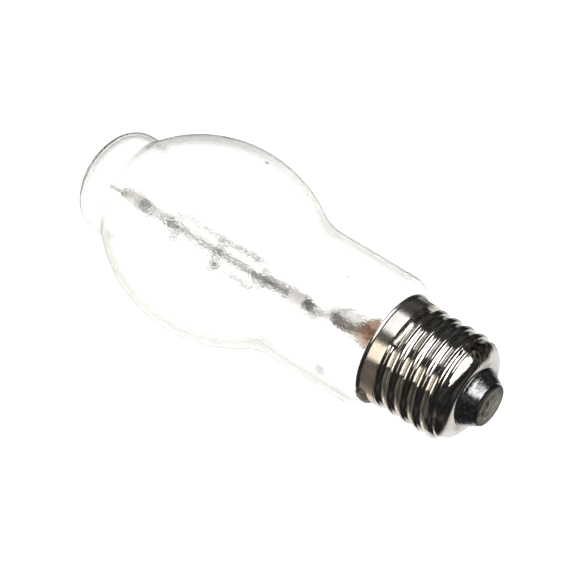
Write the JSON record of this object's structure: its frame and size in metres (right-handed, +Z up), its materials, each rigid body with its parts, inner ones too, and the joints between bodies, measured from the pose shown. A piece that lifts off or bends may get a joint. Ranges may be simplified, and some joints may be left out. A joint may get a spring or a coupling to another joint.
{
  "type": "halogen bulb",
  "caption": "Bulged tubular halogen bulb lying on its side: lightly frosted outer glass, a quartz capsule on its wire mount inside, and a nickel-plated screw base.",
  "frame": {"origin": "bottom centre of the bulb as it lies on its side on the bulge of its glass and the last turn of its thread", "axes": "+X along the bulb's length, from the glass tip to the contact end, +Z up; the bulb's own axis rises 9.1 degrees towards the tip, in the XZ plane"},
  "size_m": [0.1156, 0.0476, 0.0479],
  "materials": {
    "nickel_plate": "bright nickel plate with light wear and a tarnished patch at the round end",
    "black_glass": "glossy black insulating glass",
    "contact_metal": "dull grey-brown contact metal, scratched",
    "solder": "dull solder",
    "cement": "brown basing cement",
    "bulb_glass": "thin blown glass, very lightly frosted inside",
    "stem_glass": "clear lead glass",
    "copper_wire": "copper-coloured lead wire",
    "dumet": "red-brown seal wire",
    "nickel_wire": "drawn nickel wire and strap",
    "quartz": "clear quartz, its pinches pressed",
    "molybdenum": "grey molybdenum",
    "tungsten": "dark tungsten"
  },
  "bodies": {
    "root": {"base_shell": "nickel_plate", "base_insulator": "black_glass", "contact_plate": "contact_metal", "centre_solder": "solder", "side_solder": "solder", "basing_cement": "cement", "outer_bulb": "bulb_glass", "stem_glass": "stem_glass", "exhaust_tube": "stem_glass", "centre_outer_lead": "copper_wire", "side_outer_lead": "copper_wire", "centre_dumet": "dumet", "side_dumet": "dumet", "short_lead": "nickel_wire", "frame_wire": "nickel_wire", "near_strap": "nickel_wire", "far_strap": "nickel_wire", "capsule_quartz": "quartz", "near_foil": "molybdenum", "far_foil": "molybdenum", "near_outer_lead": "molybdenum", "far_outer_lead": "molybdenum", "near_inner_lead": "tungsten", "far_inner_lead": "tungsten", "filament": "tungsten", "filament_support": "tungsten"}
  },
  "joints": []
}
